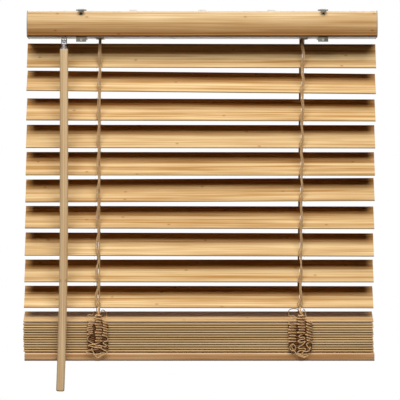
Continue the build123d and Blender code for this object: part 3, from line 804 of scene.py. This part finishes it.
def new_material(name):
    material = bpy.data.materials.new(name)
    material.use_nodes = True
    return material, material.node_tree, material.node_tree.nodes["Principled BSDF"]


def place_vector(tree, middle=(0, 0, 0), turn=(0, 0, 0)):
    """Object coordinates, seen from a place and a turn on the piece."""
    coordinates = tree.nodes.new("ShaderNodeTexCoord")
    mapping = tree.nodes.new("ShaderNodeMapping")
    mapping.vector_type = "TEXTURE"
    mapping.inputs["Location"].default_value = middle
    mapping.inputs["Rotation"].default_value = turn
    tree.links.new(coordinates.outputs["Object"], mapping.inputs["Vector"])
    return mapping.outputs[0]


def bump(tree, shader, height, strength, distance):
    node = tree.nodes.new("ShaderNodeBump")
    node.inputs["Strength"].default_value = strength
    node.inputs["Distance"].default_value = distance
    tree.links.new(height, node.inputs["Height"])
    tree.links.new(node.outputs[0], shader.inputs["Normal"])


def bamboo(name, light, dark, edge, middle, turn, strip, half, seed, painted_shade=None):
    """Lacquered bamboo with its strips along the piece, and painted shade that deepens its tone to one side
    where given.
    """
    material, tree, shader = new_material(name)
    group = tree.nodes.new("ShaderNodeGroup")
    group.node_tree = grain_group
    place = place_vector(tree, middle, turn)
    tree.links.new(place, group.inputs["Vector"])
    group.inputs["Light"].default_value = light
    group.inputs["Dark"].default_value = dark
    group.inputs["Edge"].default_value = edge
    group.inputs["Strip Width"].default_value = strip
    group.inputs["Half Width"].default_value = half
    group.inputs["Seed"].default_value = seed
    body = group.outputs["Color"]
    if painted_shade:
        # Painted shade: from start to end along Y the colour is multiplied by the tint
        start, end, tint = painted_shade
        split = tree.nodes.new("ShaderNodeSeparateXYZ")
        tree.links.new(place, split.inputs[0])
        share = mapped(tree, split.outputs["Y"], start, end, 0.0, 1.0)
        body = mixed(tree, share, body, mixed(tree, 1.0, body, tint, "MULTIPLY"))
    feed(tree, shader.inputs["Base Color"], body)
    tree.links.new(group.outputs["Roughness"], shader.inputs["Roughness"])
    shader.inputs["Specular IOR Level"].default_value = 0.04
    bump(tree, shader, group.outputs["Height"], 0.35, 0.00012)
    return material


def uneven(name, tint, worn, smooth, rough, size, metal=0.0, depth=0.00004):
    """Painted, moulded or plated surface with slight unevenness."""
    material, tree, shader = new_material(name)
    group = tree.nodes.new("ShaderNodeGroup")
    group.node_tree = uneven_group
    tree.links.new(place_vector(tree), group.inputs["Vector"])
    group.inputs["Color"].default_value = tint
    group.inputs["Worn"].default_value = worn
    group.inputs["Smooth"].default_value = smooth
    group.inputs["Rough"].default_value = rough
    group.inputs["Size"].default_value = size
    tree.links.new(group.outputs["Color"], shader.inputs["Base Color"])
    tree.links.new(group.outputs["Roughness"], shader.inputs["Roughness"])
    shader.inputs["Metallic"].default_value = metal
    bump(tree, shader, group.outputs["Height"], 0.3, depth)
    return material


def paint(material, *names):
    for name in names:
        for slot in nodes[name].material_slots:
            slot.material = material


# %% Bamboo pieces
# The slats' back half carries painted shade, warmer and darker than the front, where the slat above shades
# it
slat_painted_shade = (-0.001, 0.010, (0.93, 0.74, 0.55, 1))
slat_light = colour(238, 206, 153)
slat_dark = colour(186, 138, 80)
slat_edge = colour(228, 194, 144)
for number in range(1, 24):
    middle, tilt, dip = slat_place(number)
    name = f"slat_{number:02d}"
    warm = 1.0 + 0.05 * math.sin(number * 2.7)
    light = tuple(part * warm for part in slat_light[:3]) + (1,)
    paint(
        bamboo(
            "bamboo_" + name, light, slat_dark, slat_edge, middle, (tilt, dip, 0),
            0.0055, half_width, (number * 0.377) % 1 + number, slat_painted_shade,
        ),
        name,
    )
# The valance darkens towards its lower edge: painted shade, where its face turns down away from the lamp
paint(
    bamboo("bamboo_valance", colour(252, 222, 172), colour(206, 162, 106), slat_edge,
           (0, -0.065, -0.0012), (math.radians(90), 0, 0), 0.0058, 1.0, 31.4,
           (0.010, -0.017, (0.78, 0.56, 0.36, 1))),
    "valance",
)
# The bottom rail darkens towards its lower edge: painted shade
paint(
    bamboo("bamboo_bottom_rail", colour(242, 200, 150), colour(196, 142, 90), slat_edge,
           (0, centre_y, -0.5689), (math.radians(90), 0, 0), 0.0052, 1.0, 47.2,
           (0.0049, -0.0041, (0.80, 0.76, 0.72, 1))),
    "bottom_rail",
)
paint(
    bamboo("bamboo_wand", colour(252, 224, 178), colour(224, 184, 136), slat_edge,
           (-0.2355, -0.064, 0), (0, math.radians(90), 0), 0.0035, 1.0, 12.9),
    "tilt_wand",
)
print("bamboo finishes:", sum(m.name.startswith("bamboo_") for m in bpy.data.materials))

# %% Metal and plastic pieces
painted_steel = uneven(
    "painted_steel", colour(226, 224, 219), colour(214, 211, 205), 0.28, 0.42, 0.0011)
paint(painted_steel, "headrail")
zinc = uneven(
    "zinc_steel", colour(122, 120, 108), colour(94, 92, 80), 0.28, 0.46, 0.0016, 1.0)
paint(zinc, "bracket_left", "bracket_right", "tilt_rod")
hook_steel = uneven(
    "hook_steel", colour(150, 148, 146), colour(110, 106, 102), 0.22, 0.4, 0.001, 1.0)
paint(hook_steel, "wand_hook")
white_plastic = uneven(
    "white_plastic", colour(232, 230, 224), colour(222, 219, 211), 0.34, 0.5, 0.0009)
paint(white_plastic, "spring_motor", "ladder_drum_left", "ladder_drum_right", "valance_clips",
      "tilter_housing", "cradle_left", "cradle_right")
grey_plastic = uneven(
    "grey_plastic", colour(150, 150, 148), colour(136, 136, 134), 0.4, 0.55, 0.0009)
paint(grey_plastic, "end_cap_left", "end_cap_right")
tan_plastic = uneven(
    "tan_plastic", colour(176, 138, 92), colour(162, 124, 80), 0.38, 0.52, 0.0009)
paint(tan_plastic, "cord_plug_left", "cord_plug_right")
clear = uneven(
    "clear_plastic", colour(226, 224, 232), colour(216, 213, 224), 0.10, 0.22, 0.001)
clear_shader = clear.node_tree.nodes["Principled BSDF"]
clear_shader.inputs["Transmission Weight"].default_value = 0.85
clear_shader.inputs["IOR"].default_value = 1.49
paint(clear, "tilter_stem", "wand_ferrule")
print("metal and plastic finishes:", 7)

# %% Cord materials


def braided(name, light, dark, depth=None):
    """Tan cord of uneven tone, with painted shade that darkens it towards the back where a depth is given.
    """
    material, tree, shader = new_material(name)
    place = place_vector(tree)
    base = noise(tree, place, 900.0, 2.0, 0.6)
    body = mixed(tree, mapped(tree, base, 0.3, 0.7, 0.0, 1.0), light, dark)
    if depth:
        split = tree.nodes.new("ShaderNodeSeparateXYZ")
        tree.links.new(place, split.inputs[0])
        share = mapped(tree, split.outputs["Y"], depth[0], depth[1], 0.0, 1.0)
        # Painted shade: from the front of the depth range to its back the colour is multiplied by a dark
        # brown
        body = mixed(tree, share, body, mixed(tree, 1.0, body, (0.26, 0.14, 0.07, 1), "MULTIPLY"))
    feed(tree, shader.inputs["Base Color"], body)
    shader.inputs["Roughness"].default_value = 0.75
    shader.inputs["Specular IOR Level"].default_value = 0.1
    return material


cord_material = braided("braided_cord", colour(228, 192, 145), colour(176, 136, 88))
# The slack's cord is a lighter copy of the braided cord, a painted highlight on the loops in front, and it
# darkens behind them in painted shade
lit_and_shaded_cord = braided(
    "cord_with_painted_light_and_shade", colour(252, 216, 164), colour(208, 156, 100),
    (front_bunch_y - 0.0018, front_bunch_y + 0.0018),
)
# The back uprights take a darker copy of the same cord: painted shade behind the slats
cord_in_shade_material = braided("cord_in_painted_shade", colour(168, 126, 82), colour(120, 84, 50))
for piece in cord_pieces:
    material = cord_material
    if piece.name.startswith("front_slack"):
        material = lit_and_shaded_cord
    elif piece.name.startswith("back_"):
        material = cord_in_shade_material
    piece.data.materials.clear()
    piece.data.materials.append(material)
print("cords painted:", len(cord_pieces))
